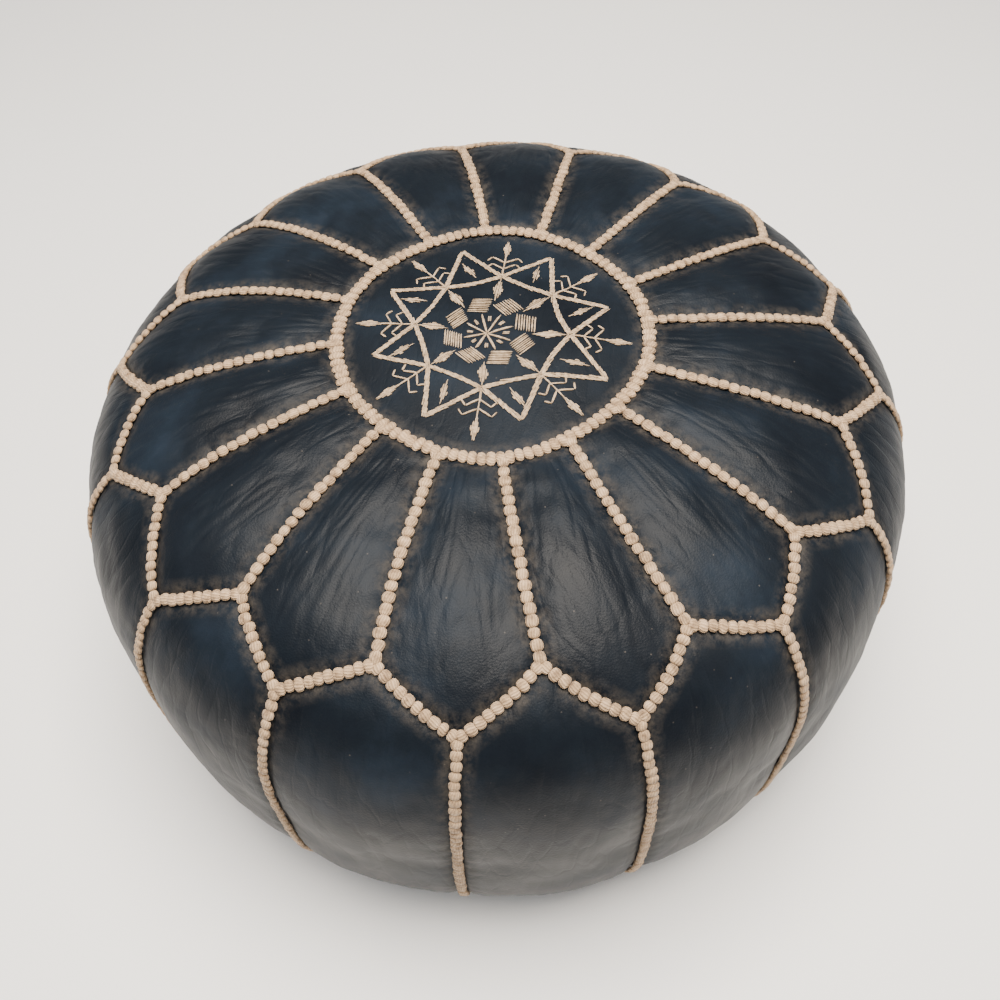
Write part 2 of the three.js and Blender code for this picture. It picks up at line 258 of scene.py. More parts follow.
def spaced(line, step):
    """A line's (arc, angle) places set evenly along it, about step apart."""
    arc, angle = line
    points = cover(arc, angle)
    gone = np.concatenate([[0], np.cumsum(np.linalg.norm(np.diff(points, axis=0), axis=1))])
    count = max(2, round(gone[-1] / step))
    wanted = np.linspace(0, gone[-1], count + 1)
    return np.interp(wanted, gone, arc), np.interp(wanted, gone, angle)


SEAM_STEP = 1.0 * MM
SEAM_APART = 3.7  # metres added from one seam to the next, so no two pucker alike


def seam_tree():
    """Finds the seam nearest to a place, and how far along that seam it is."""
    points, along = [], []
    offset = 0.0
    for lines in all_seams(SEAM_STEP).values():
        for arc, angle in lines:
            placed = cover(arc, angle)
            points += list(placed)
            along += list(offset + np.arange(len(placed)) * SEAM_STEP)
            offset += SEAM_APART
    tree = kdtree.KDTree(len(points))
    for index, point in enumerate(points):
        tree.insert(point, index)
    tree.balance()
    return tree, np.array(along)


# ---- small helpers ----


def settings():
    return bpy.context.scene.pouf


def new_object(name, mesh):
    piece = bpy.data.objects.new(name, mesh)
    bpy.context.scene.collection.objects.link(piece)
    return piece


def object_from(name, bm, smooth=True):
    for face in bm.faces:
        face.smooth = smooth
    mesh = bpy.data.meshes.new(name)
    bm.to_mesh(mesh)
    bm.free()
    return new_object(name, mesh)


def places(mesh):
    found = np.empty(len(mesh.vertices) * 3)
    mesh.vertices.foreach_get("co", found)
    return found.reshape(-1, 3)


def put(mesh, points):
    mesh.vertices.foreach_set("co", np.asarray(points, np.float32).ravel())
    mesh.update()


def applied(piece):
    """Bakes a piece's modifiers into its mesh."""
    depsgraph = bpy.context.evaluated_depsgraph_get()
    mesh = bpy.data.meshes.new_from_object(piece.evaluated_get(depsgraph))
    old = piece.data
    piece.modifiers.clear()
    piece.data = mesh
    bpy.data.meshes.remove(old)
    mesh.name = piece.name
    return piece


def walled(piece, thickness):
    wall = piece.modifiers.new("Leather", "SOLIDIFY")
    wall.thickness = thickness
    wall.offset = -1
    wall.use_even_offset = False
    return piece


def spun(bm, verts, edges, steps):
    """Spins a profile once round the upright axis and closes it."""
    around = {"cent": (0, 0, 0), "axis": (0, 0, 1), "angle": 2 * math.pi}
    bmesh.ops.spin(bm, geom=verts + edges, steps=steps, use_merge=True, **around)
    bmesh.ops.remove_doubles(bm, verts=bm.verts, dist=1e-6)
    bmesh.ops.recalc_face_normals(bm, faces=bm.faces)


def faced(bm, up):
    """Turns an open sheet's faces so that they look up or down."""
    bm.normal_update()
    if (sum(face.normal.z for face in bm.faces) > 0) != up:
        bmesh.ops.reverse_faces(bm, faces=bm.faces)


def mark_seam(mesh, far):
    """Records each vertex's distance to its nearest seam for the leather's wear."""
    record = mesh.attributes.new("seam", "FLOAT", "POINT")
    record.data.foreach_set("value", np.asarray(far, np.float32))


def settle(piece, slot, *nodes):
    """Attaches a finished piece to the pouf's body, gives it the material of its slot and hides the CAD nodes that
    it stands for.
    """
    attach(piece, "pouf")
    if nodes:
        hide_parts(*nodes)
    piece.data.materials.clear()
    piece.data.materials.append(finish_of(slot))


class Balls:
    """Many copies of one ball, each laid out to its own shape: stitches and strands."""

    def __init__(self, around, down):
        bm = bmesh.new()
        bmesh.ops.create_uvsphere(bm, u_segments=around, v_segments=down, radius=1)
        bmesh.ops.recalc_face_normals(bm, faces=bm.faces)
        self.ball = np.array([vert.co for vert in bm.verts])
        self.faces = [[vert.index for vert in face.verts] for face in bm.faces]
        x, y, z = self.ball.T
        # Round the ball from its underside, and along it, for the lie of the fibres.
        self.flat = np.stack([np.arctan2(x, y) / (2 * math.pi), z], -1)
        self.laid = []
        bm.free()

    def lay(self, points):
        self.laid.append(points)

    def piece(self, name):
        size = len(self.ball)
        faces = [[v + size * k for v in face] for k in range(len(self.laid)) for face in self.faces]
        mesh = bpy.data.meshes.new(name)
        mesh.from_pydata(np.concatenate(self.laid), [], faces)
        mesh.polygons.foreach_set("use_smooth", [True] * len(mesh.polygons))
        corners = np.concatenate([self.flat[face] for face in self.faces])
        layer = mesh.uv_layers.new(name="Strand")
        layer.data.foreach_set("uv", np.tile(corners, (len(self.laid), 1)).ravel())
        return new_object(name, mesh)


def vertex_normals(mesh):
    found = np.empty(len(mesh.vertices) * 3)
    mesh.vertex_normals.foreach_get("vector", found)
    return found.reshape(-1, 3)


def noise_at(points, scale, seed=0.0):
    """Smooth noise from -1 to 1; scale is one over the size of its lumps, per axis."""
    scaled = points * scale + seed
    return np.array([noise.noise(Vector(p)) for p in scaled])


# ---- materials ----


def linear(colour):
    """An sRGB hex colour as linear RGBA. A plain grey level is already linear, and so is a list."""
    if isinstance(colour, float):
        return (colour, colour, colour, 1.0)
    if not isinstance(colour, str):
        return tuple(colour)
    parts = [int(colour[i : i + 2], 16) / 255 for i in (1, 3, 5)]
    return (*[c / 12.92 if c <= 0.04045 else ((c + 0.055) / 1.055) ** 2.4 for c in parts], 1.0)


def add(tree, kind, sockets=None, stops=None, **values):
    """Adds a shader node. A socket's value is either a constant or another node's output, which is linked;
    stops are a colour ramp's places and hex colours or grey levels."""
    made = tree.nodes.new("ShaderNode" + kind)
    for name, value in values.items():
        setattr(made, name, value)
    for name, value in (sockets or {}).items():
        if isinstance(value, bpy.types.NodeSocket):
            tree.links.new(value, made.inputs[name])
        else:
            made.inputs[name].default_value = value
    if stops:
        marks = made.color_ramp.elements
        while len(marks) < len(stops):
            marks.new(0.5)
        for mark, (place, colour) in zip(marks, stops):
            mark.position, mark.color = place, linear(colour)
    return made


def start_material(name):
    material = bpy.data.materials.new(name)
    material.use_nodes = True
    material.node_tree.nodes.clear()
    return material, material.node_tree


def surfaced(material, sockets):
    """Gives a material its surface from the sockets of one shader."""
    tree = material.node_tree
    shader = add(tree, "BsdfPrincipled", sockets)
    add(tree, "OutputMaterial", {"Surface": shader.outputs[0]})
    return material


def goatskin():
    """Goatskin, vegetable-tanned, dyed by hand and waxed: a fine pebbled grain with hairline creases,
    cloudy blue-black dye that has rubbed off along the seams, and a satin gloss that comes and goes."""
    material, tree = start_material("Dyed goatskin, waxed")
    where = add(tree, "TexCoord").outputs["Object"]
    flat = add(tree, "UVMap", uv_map="Panel").outputs["UV"]
    seam = add(tree, "Attribute", attribute_name="seam").outputs["Fac"]

    cloud = add(tree, "TexNoise", {"Vector": where, "Scale": 16.0, "Detail": 6.0, "Roughness": 0.6})
    # Wipe marks of the dye pad: about 3 mm wide and ten times as long, down each panel.
    long_way = add(tree, "Mapping", {"Vector": flat, "Scale": (330.0, 34.0, 1.0)})
    streak = add(
        tree, "TexNoise", {"Vector": long_way.outputs[0], "Scale": 1.0, "Detail": 5.0, "Distortion": 0.6}
    )
    # The hair pores and pebbles of goatskin: cells of about 1.1 mm.
    pebble = add(tree, "TexVoronoi", {"Vector": where, "Scale": 900.0, "Randomness": 1.0})
    fine = add(tree, "TexNoise", {"Vector": where, "Scale": 1500.0, "Detail": 3.0})
    # Hairline creases, 7 to 22 mm apart, that follow the pull of the panel.
    pulled = add(tree, "Mapping", {"Vector": flat, "Scale": (150.0, 46.0, 1.0)})
    warp = add(tree, "TexNoise", {"Vector": pulled.outputs[0], "Scale": 1.0, "Detail": 3.0})
    bent = add(tree, "Mix", {0: 0.45, 4: pulled.outputs[0], 5: warp.outputs["Color"]}, data_type="VECTOR")
    crease = add(
        tree, "TexVoronoi", {"Vector": bent.outputs[1], "Scale": 1.0}, feature="DISTANCE_TO_EDGE"
    )
    crease_line = add(tree, "ValToRGB", {"Fac": crease.outputs["Distance"]}, [(0.0, 0.0), (0.1, 1.0)])

    dye = [(0.28, "#0a0e14"), (0.48, "#0e141b"), (0.62, "#131b24"), (0.78, "#1a242f")]
    shade = add(tree, "ValToRGB", {"Fac": cloud.outputs["Fac"]}, dye)
    light = add(tree, "ValToRGB", {"Fac": streak.outputs["Fac"]}, [(0.3, 0.72), (0.7, 1.0)])
    streaked = add(
        tree,
        "Mix",
        {0: 0.4, 6: shade.outputs["Color"], 7: light.outputs["Color"]},
        data_type="RGBA",
        blend_type="MULTIPLY",
    )
    # Dye rubbed back to a grey brown in a broken band beside each seam.
    band = {"Value": seam, "From Min": 2.5 * MM, "From Max": 11.5 * MM, "To Min": 1.0, "To Max": 0.0}
    worn_by = add(tree, "MapRange", band)
    broken = add(tree, "TexNoise", {"Vector": where, "Scale": 140.0, "Detail": 6.0, "Roughness": 0.75})
    patches = add(tree, "ValToRGB", {"Fac": broken.outputs["Fac"]}, [(0.42, 0.0), (0.72, 1.0)])
    worn = add(tree, "Math", {0: worn_by.outputs[0], 1: patches.outputs["Color"]}, operation="MULTIPLY")
    bare = {0: worn.outputs[0], 6: streaked.outputs[2], 7: linear("#4a443d")}
    rubbed = add(tree, "Mix", bare, data_type="RGBA")
    # Pale specks where the dye did not take.
    speck = add(tree, "TexVoronoi", {"Vector": where, "Scale": 95.0})
    dot = add(tree, "ValToRGB", {"Fac": speck.outputs["Distance"]}, [(0.0, 1.0), (0.055, 0.0)])
    faint = add(tree, "Math", {0: dot.outputs["Color"], 1: 0.5}, operation="MULTIPLY")
    undyed = {0: faint.outputs[0], 6: rubbed.outputs[2], 7: linear("#6f675f")}
    specked = add(tree, "Mix", undyed, data_type="RGBA")

    gloss = add(tree, "ValToRGB", {"Fac": cloud.outputs["Fac"]}, [(0.3, 0.4), (0.7, 0.54)])
    dulled = add(
        tree, "Math", {0: worn_by.outputs[0], 1: 0.16, 2: gloss.outputs["Color"]}, operation="MULTIPLY_ADD"
    )

    grain = add(tree, "Bump", {"Height": pebble.outputs["Distance"], "Strength": 0.35, "Distance": 0.00022})
    finer = add(
        tree,
        "Bump",
        {"Height": fine.outputs["Fac"], "Normal": grain.outputs[0], "Strength": 0.3, "Distance": 0.00012},
    )
    folds = add(
        tree,
        "Bump",
        {"Height": crease_line.outputs["Color"], "Normal": finer.outputs[0], "Strength": 0.26, "Distance": 0.0004},
    )
    wiped = add(
        tree,
        "Bump",
        {"Height": streak.outputs["Fac"], "Normal": folds.outputs[0], "Strength": 0.1, "Distance": 0.0004},
    )
    return surfaced(
        material,
        {
            "Base Color": specked.outputs[2],
            "Roughness": dulled.outputs[0],
            "Normal": wiped.outputs[0],
            "IOR": 1.4,
            "Specular IOR Level": 0.18,
        },
    )


def thread_material(name, dark, mid, pale, lump, sheen, strand_mm, count):
    material, tree = start_material(name)
    where = add(tree, "TexCoord").outputs["Object"]
    tone = add(tree, "TexNoise", {"Vector": where, "Scale": lump, "Detail": 4.0, "Roughness": 0.6})
    colour = add(tree, "ValToRGB", {"Fac": tone.outputs["Fac"]}, [(0.3, dark), (0.5, mid), (0.72, pale)])
    fluff = add(tree, "TexNoise", {"Vector": where, "Scale": 1000 / strand_mm, "Detail": 4.0})
    rough = add(tree, "Bump", {"Height": fluff.outputs["Fac"], "Strength": 0.5, "Distance": 0.0002})
    # The strands of the thread, side by side along each stitch.
    lie = add(tree, "UVMap", uv_map="Strand").outputs["UV"]
    slant = add(tree, "Mapping", {"Vector": lie, "Rotation": (0, 0, 0.05)})
    strands = add(
        tree,
        "TexWave",
        {"Vector": slant.outputs[0], "Scale": count * math.pi / 10, "Distortion": 0.6, "Detail": 2.0},
        bands_direction="X",
    )
    grooves = add(
        tree,
        "Bump",
        {"Height": strands.outputs["Fac"], "Normal": rough.outputs[0], "Strength": 0.7, "Distance": 0.0004},
    )
    # Painted shade: the strand bands darken the thread's colour in the grooves between the strands.
    strand_groove_shade = add(
        tree,
        "Mix",
        {0: 0.32, 6: colour.outputs["Color"], 7: strands.outputs["Color"]},
        data_type="RGBA",
        blend_type="MULTIPLY",
    )
    return surfaced(
        material,
        {
            "Base Color": strand_groove_shade.outputs[2],
            "Roughness": 0.78,
            "Normal": grooves.outputs[0],
            "Sheen Weight": sheen,
            "Sheen Roughness": 0.4,
        },
    )


def seam_thread():
    """Waxed cotton thread, four strands laid side by side: matt cream with a slight fuzz, browner where
    hands have handled it."""
    shades = ("#7d644b", "#b29472", "#ceb08f")
    return thread_material("Waxed cotton seam thread", *shades, 260.0, 0.15, 0.7, 12)


def embroidery_thread():
    """Mercerised cotton embroidery thread, loosely twisted: a soft lustre along each strand."""
    shades = ("#8d7456", "#bb9f7d", "#d8bf9f")
    return thread_material("Mercerised embroidery thread", *shades, 420.0, 0.3, 0.4, 4)


def woven(name, dark, pale, thread_mm, roughness):
    """Plain weave: warp and weft bands cross at right angles, one over and one under."""
    material, tree = start_material(name)
    where = add(tree, "TexCoord").outputs["Object"]
    scale = math.pi / (thread_mm * MM) / 20
    across = add(tree, "TexWave", {"Vector": where, "Scale": scale}, bands_direction="X")
    along = add(tree, "TexWave", {"Vector": where, "Scale": scale}, bands_direction="Y")
    both = add(tree, "Math", {0: across.outputs["Fac"], 1: along.outputs["Fac"]}, operation="MULTIPLY")
    tone = add(tree, "TexNoise", {"Vector": where, "Scale": 60.0, "Detail": 5.0})
    # Painted shade mixed with a random tone: the colour is darker where the weave lies low, between the threads.
    mixed = add(tree, "Math", {0: both.outputs[0], 1: 0.5, 2: tone.outputs["Fac"]}, operation="MULTIPLY_ADD")
    colour = add(tree, "ValToRGB", {"Fac": mixed.outputs[0]}, [(0.3, dark), (0.9, pale)])
    relief = add(tree, "Bump", {"Height": both.outputs[0], "Strength": 0.7, "Distance": 0.0003})
    return surfaced(
        material,
        {"Base Color": colour.outputs["Color"], "Roughness": roughness, "Normal": relief.outputs[0]},
    )


def lining_cotton():
    """Unbleached cotton sheeting in plain weave: warm off-white, dull, with a thread every 0.8 mm."""
    return woven("Unbleached cotton sheeting", "#a79c88", "#ddd4c2", 0.8, 0.92)


def zip_tape():
    """Polyester zip tape in a tight weave: near black, dull, with a thread every 0.6 mm."""
    return woven("Woven polyester tape", "#14161a", "#2c3036", 0.6, 0.8)


def stuffing():
    """Carded fibre and cloth offcuts: grey beige, without gloss, in matted tufts of 10 to 30 mm."""
    material, tree = start_material("Carded fibre stuffing")
    where = add(tree, "TexCoord").outputs["Object"]
    tuft = add(tree, "TexNoise", {"Vector": where, "Scale": 45.0, "Detail": 8.0, "Distortion": 2.0})
    colour = add(tree, "ValToRGB", {"Fac": tuft.outputs["Fac"]}, [(0.3, "#7f776b"), (0.7, "#c2baab")])
    relief = add(tree, "Bump", {"Height": tuft.outputs["Fac"], "Strength": 1.0, "Distance": 0.004})
    return surfaced(
        material,
        {"Base Color": colour.outputs["Color"], "Roughness": 0.95, "Normal": relief.outputs[0]},
    )


def nylon():
    """Nylon monofilament, drawn and heat-set into a coil: smooth, dark, with a soft plastic gloss."""
    material, tree = start_material("Drawn nylon monofilament")
    where = add(tree, "TexCoord").outputs["Object"]
    tone = add(tree, "TexNoise", {"Vector": where, "Scale": 300.0, "Detail": 3.0})
    colour = add(tree, "ValToRGB", {"Fac": tone.outputs["Fac"]}, [(0.3, "#1e2126"), (0.7, "#31353b")])
    gloss = add(tree, "ValToRGB", {"Fac": tone.outputs["Fac"]}, [(0.3, 0.32), (0.7, 0.46)])
    return surfaced(
        material,
        {"Base Color": colour.outputs["Color"], "Roughness": gloss.outputs["Color"], "IOR": 1.53},
    )


def zip_brass():
    """Brass, die-cast, tumbled and antiqued: dull yellow with brown in the hollows and fine scratches."""
    material, tree = start_material("Tumbled antique brass")
    where = add(tree, "TexCoord").outputs["Object"]
    patina = add(tree, "TexNoise", {"Vector": where, "Scale": 220.0, "Detail": 6.0, "Roughness": 0.7})
    colour = add(tree, "ValToRGB", {"Fac": patina.outputs["Fac"]}, [(0.34, "#6b5230"), (0.6, "#b3935a")])
    gloss = add(tree, "ValToRGB", {"Fac": patina.outputs["Fac"]}, [(0.3, 0.5), (0.7, 0.28)])
    fine = add(tree, "Mapping", {"Vector": where, "Scale": (600.0, 4000.0, 4000.0)})
    scratch = add(tree, "TexNoise", {"Vector": fine.outputs[0], "Scale": 1.0, "Detail": 2.0})
    relief = add(tree, "Bump", {"Height": scratch.outputs["Fac"], "Strength": 0.2, "Distance": 0.0001})
    return surfaced(
        material,
        {
            "Base Color": colour.outputs["Color"],
            "Metallic": 1.0,
            "Roughness": gloss.outputs["Color"],
            "Normal": relief.outputs[0],
        },
    )


MAKERS = {
    "goatskin": goatskin,
    "seam_thread": seam_thread,
    "embroidery_thread": embroidery_thread,
    "lining_cotton": lining_cotton,
    "stuffing": stuffing,
    "zip_tape": zip_tape,
    "zip_coil": nylon,
    "zip_metal": zip_brass,
}
MADE = {}


def finish_of(slot):
    if slot not in MADE:
        MADE[slot] = MAKERS[slot]()
    return MADE[slot]


# ---- leather panels ----

GRIDS = {"petal": (14, 20), "side": (12, 26)}  # columns and rows before the mesh is made finer


CLOTH_STEPS = 20
PINCH = {"depth": 1.5 * MM, "reach": 4.2 * MM}  # how far a seam draws the leather in, and how wide


def pinch(far):
    """How far the leather sinks at a distance from its seam."""
    return PINCH["depth"] * np.exp(-((far / PINCH["reach"]) ** 2))


def grid_shares(columns, rows):
    """Shares across and down for each vertex of create_grid, in its order; y runs up the panel."""
    across, up = np.meshgrid(np.linspace(0, 1, columns + 1), np.linspace(0, 1, rows + 1))
    return across.ravel(), 1 - up.ravel()


def panel_start(kind, i):
    """Where a panel's vertices lie before it is filled out."""
    u, v = grid_shares(*GRIDS[kind])
    across = (4 * u * (1 - u)) ** 1.2
    if kind == "petal":
        arc, angle = petal_patch(i, u, v)
        lift = settings().petal_swell * (across * np.sin(math.pi * v**0.8) ** 0.9)
    else:
        arc, angle = side_patch(i, u, v)
        lift = settings().side_swell * (across * np.sin(math.pi * v) ** 0.8)
    return cover(arc, angle, lift)


def panel_names():
    for kind in ("petal", "side"):
        for i in range(PANELS):
            yield kind, i


def filled_out():
    """Sews every panel down at its edges and blows the cover up from inside with a cloth simulation."""
    starts = {key: panel_start(*key) for key in panel_names()}
    bm = bmesh.new()
    pinned, looseness = [], []
    for key, points in starts.items():
        columns, rows = GRIDS[key[0]]
        verts = bmesh.ops.create_grid(bm, x_segments=columns, y_segments=rows, size=1)["verts"]
        for vert, point in zip(verts, points):
            vert.co = point
        u, v = grid_shares(columns, rows)
        pinned += list((u == 0) | (u == 1) | (v == 0) | (v == 1))
        looseness += [1.0 if key[0] == "petal" else 0.0] * len(verts)
    cloth = object_from("cover_cloth", bm)
    seams = cloth.vertex_groups.new(name="seams")
    seams.add([i for i, held in enumerate(pinned) if held], 1.0, "REPLACE")
    loose = cloth.vertex_groups.new(name="loose")
    loose.add([i for i, share in enumerate(looseness) if share], 1.0, "REPLACE")
    cloth_modifier = cloth.modifiers.new("Cloth", "CLOTH")
    s = cloth_modifier.settings
    s.quality = 6
    s.mass = 0.4
    s.tension_stiffness, s.compression_stiffness = 30.0, 30.0
    s.shear_stiffness, s.bending_stiffness = 12.0, 1.5
    s.tension_damping, s.shear_damping = 12.0, 12.0
    s.vertex_group_mass = "seams"
    s.vertex_group_shrink = "loose"
    s.shrink_min, s.shrink_max = -0.006, -0.022
    s.use_pressure = True
    s.uniform_pressure_force = 4.0
    s.effector_weights.gravity = 0.0
    cloth_modifier.collision_settings.use_collision = False
    cloth_modifier.point_cache.frame_start, cloth_modifier.point_cache.frame_end = 1, CLOTH_STEPS
    scene = bpy.context.scene
    for step in range(1, CLOTH_STEPS + 1):
        scene.frame_set(step)
    depsgraph = bpy.context.evaluated_depsgraph_get()
    mesh = bpy.data.meshes.new_from_object(cloth.evaluated_get(depsgraph))
    blown = places(mesh)
    bpy.data.objects.remove(cloth)
    bpy.data.meshes.remove(mesh)
    scene.frame_set(1)
    result, first = {}, 0
    for key, points in starts.items():
        moved = blown[first : first + len(points)] - points
        length = np.linalg.norm(moved, axis=1, keepdims=True)
        cap = settings().swell_cap
        result[key] = points + moved * np.minimum(1, cap / np.maximum(length, 1e-9))
        first += len(points)
    return result


def panel_piece(name, points, columns, rows, tree, along_of, seed):
    """A leather panel: the filled-out shape made finer, then pinched at its seams and creased."""
    bm = bmesh.new()
    verts = bmesh.ops.create_grid(bm, x_segments=columns, y_segments=rows, size=1)["verts"]
    for vert, point in zip(verts, points):
        vert.co = point
    u, v = grid_shares(columns, rows)
    laid = points.reshape(rows + 1, columns + 1, 3)
    width = np.linalg.norm(laid[rows // 2, 0] - laid[rows // 2, -1])
    length = np.linalg.norm(np.diff(laid[:, columns // 2], axis=0), axis=1).sum()
    layer = bm.loops.layers.uv.new("Panel")
    for face in bm.faces:
        for loop in face.loops:
            index = loop.vert.index
            # The panel's own flat pattern in metres, moved aside by its number so no two look alike.
            loop[layer].uv = (seed * 0.73 + u[index] * width, seed * 0.31 - v[index] * length)
    piece = object_from(name, bm)
    finer = piece.modifiers.new("Finer", "SUBSURF")
    finer.levels = finer.render_levels = 2
    finer.boundary_smooth = "PRESERVE_CORNERS"
    applied(piece)
    mesh = piece.data
    base = places(mesh)
    normal = vertex_normals(mesh)
    near = [tree.find(p) for p in base]
    far = np.array([hit[2] for hit in near])
    along = along_of[np.array([hit[1] for hit in near])]
    shift = -pinch(far)
    # Puckers between stitches: each ends within about 12 mm of the seam.
    phase = 2 * math.pi * along / (11.5 * MM)
    uneven = noise_at(np.stack([along, far * 6, far * 0], 1), 55.0, seed)
    swing = np.sin(phase + 2.2 * uneven) * (0.6 + uneven)
    shift = shift + 0.75 * MM * swing * np.exp(-far / (6.5 * MM)) * (1 - np.exp(-((far / (2 * MM)) ** 2)))
    away = 1 - np.exp(-((far / (11 * MM)) ** 2))
    shift = shift + away * 1.5 * MM * noise_at(base, 17.0, seed)
    shift = shift + away * 0.55 * MM * noise_at(base, 48.0, seed + 5)
    # Slack drawn into soft folds that run the long way of the panel.
    spin = np.arctan2(base[:, 1], base[:, 0]) * 0.2
    run = np.hypot(base[:, 0], base[:, 1]) - base[:, 2]
    folds = noise_at(np.stack([spin * 120, run * 22, spin * 0], 1), 1.0, seed + 9)
    crest = np.clip(1 - np.abs(folds) * 3.2, 0, 1)
    shift = shift - away * 0.35 * MM * crest**1.5
    put(mesh, base + normal * shift[:, None])
    mark_seam(mesh, far)
    return walled(piece, settings().leather)


# ---- medallion ----


def medallion_height(radius):
    radius = np.asarray(radius, float)
    top = slice(0, OUTLINE["waist"] + 1)
    crown = np.interp(radius, OUTLINE["r"][top], OUTLINE["z"][top])
    soft = 5.0 * MM * (1 - np.clip(radius / RING_RADIUS, 0, 1) ** 2) ** 2
    return crown + soft


def medallion_point(x, y, lift=0.0):
    """A place on the domed medallion, with its slight unevenness."""
    radius = math.hypot(x, y)
    uneven = 1.1 * MM * noise.noise(Vector((x * 26, y * 26, 4.2))) * (1 - min(1, radius / RING_RADIUS) ** 3)
    return Vector((x, y, float(medallion_height(radius)) + uneven + lift))


# ---- operators ----


class PoufSettings(bpy.types.PropertyGroup):
    leather: FloatProperty(
        name="Leather", description="Thickness of the goatskin", default=0.0016, min=0.0005, unit="LENGTH"
    )
    petal_swell: FloatProperty(
        name="Petal swell", description="How far a petal stands out before filling", default=0.004, unit="LENGTH"
    )
    side_swell: FloatProperty(
        name="Side swell", description="How far a side stands out before filling", default=0.002, unit="LENGTH"
    )
    swell_cap: FloatProperty(
        name="Swell cap", description="The most that filling pushes a panel out", default=0.006, unit="LENGTH"
    )
    ring_stitch: FloatVectorProperty(
        name="Ring stitch", description="Pitch, width and height of a stitch on the ring", size=3,
        default=(0.0051, 0.0086, 0.0033), unit="LENGTH",
    )
    ray_stitch: FloatVectorProperty(
        name="Ray stitch", description="Pitch, width and height of a stitch between petals", size=3,
        default=(0.0061, 0.0066, 0.0034), unit="LENGTH",
    )
    zigzag_stitch: FloatVectorProperty(
        name="Zigzag stitch", description="Pitch, width and height of a stitch on the zigzag", size=3,
        default=(0.0055, 0.0068, 0.0034), unit="LENGTH",
    )
    side_stitch: FloatVectorProperty(
        name="Side stitch", description="Pitch, width and height of a stitch down the sides", size=3,
        default=(0.0056, 0.0062, 0.0032), unit="LENGTH",
    )
    base_stitch: FloatVectorProperty(
        name="Base stitch", description="Pitch, width and height of a stitch round the base", size=3,
        default=(0.0062, 0.0042, 0.0020), unit="LENGTH",
    )
    strand: FloatProperty(
        name="Strand", description="Width of one embroidery strand", default=0.00098, unit="LENGTH"
    )
    coil_turns: IntProperty(name="Coil turns", description="Turns in each zip coil", default=166, min=10)
    floor_colour: FloatVectorProperty(
        name="Floor", description="Colour of the studio floor", subtype="COLOR", size=4, min=0, max=1,
        default=linear("#fbfaf8"),
    )


class POUF_OT_panels(bpy.types.Operator):
    """Cuts, sews and fills out the sixteen petals and sixteen side panels"""

    bl_idname = "pouf.panels"
    bl_label = "Petals and side panels"

    def execute(self, context):
        tree, along_of = seam_tree()
        shapes = filled_out()
        for kind, i in panel_names():
            node, first = ("petal", 1) if kind == "petal" else ("side_panel", 21)
            node = f"{node}_{i + 1:02d}"
            piece = panel_piece(f"{node}_skin", shapes[kind, i], *GRIDS[kind], tree, along_of, first + i)
            settle(piece, "goatskin", node)
        return {"FINISHED"}


class POUF_OT_medallion(bpy.types.Operator):
    """Makes the domed goatskin disc in the middle of the top"""

    bl_idname = "pouf.medallion"
    bl_label = "Medallion"

    def execute(self, context):
        bm = bmesh.new()
        rings, turns = 30, 128
        profile = [bm.verts.new((RING_RADIUS * k / rings, 0, 0)) for k in range(rings + 1)]
        edges = [bm.edges.new(pair) for pair in zip(profile, profile[1:])]
        spun(bm, profile, edges, turns)
        faced(bm, True)
        seam = []
        layer = bm.loops.layers.uv.new("Panel")
        for vert in bm.verts:
            share = math.hypot(vert.co.x, vert.co.y) / RING_RADIUS
            angle = math.atan2(vert.co.y, vert.co.x)
            rim = float(np.hypot(*cover(ring_arc(angle), angle)[:2]))
            radius = share * rim
            x, y = radius * math.cos(angle), radius * math.sin(angle)
            far = rim - radius
            seam.append(far)
            swing = math.sin(angle * 52 + 2 * noise.noise(Vector((x * 40, y * 40, 1))))
            ripple = 0.5 * MM * swing * math.exp(-far / (5 * MM)) * (1 - math.exp(-((far / (2 * MM)) ** 2)))
            vert.co = medallion_point(x, y, ripple - pinch(far))
        for face in bm.faces:
            for loop in face.loops:
                loop[layer].uv = (loop.vert.co.x + 3.1, loop.vert.co.y)
        piece = object_from("medallion_skin", bm)
        mark_seam(piece.data, seam)
        walled(piece, settings().leather)
        settle(piece, "goatskin", "medallion")
        return {"FINISHED"}


def bead(balls, at, along, out, size, chance):
    """One stitch: a plump knot of strands that lie along the seam, wider across than along."""
    half = [s / 2 * (1 + chance.normal(0, 0.05)) for s in size]
    across = np.cross(out, along)
    along = along + across * chance.normal(0, 0.08)
    along /= np.linalg.norm(along)
    across = np.cross(out, along)
    x, y, z = balls.ball.T
    turn, reach = np.arctan2(y, x), np.hypot(x, y)
    # Blunt ends: the ball is squared off along the seam and across it.
    square = (np.abs(np.cos(turn)) ** 2.6 + np.abs(np.sin(turn)) ** 2.6) ** (-1 / 2.6)
    reach = reach**0.78 * (1 + 0.075 * np.cos(5 * turn)) * square
    z = np.sign(z) * np.abs(z) ** 0.78
    turn = turn + 0.5 * z  # the strands lie aslant
    balls.lay(
        at
        + np.outer(z * half[0], along)
        + np.outer(reach * np.cos(turn) * half[1], across)
        + np.outer(reach * np.sin(turn) * half[2], out)
    )


def cover_frames(line, lift):
    """Points, directions along the seam and outward directions for a line of (arc, angle) places."""
    arc, angle = line
    points = cover(arc, angle, lift)
    outward = cover(arc, angle, lift + 1 * MM) - cover(arc, angle, lift)
    outward /= np.linalg.norm(outward, axis=1, keepdims=True)
    return points, outward


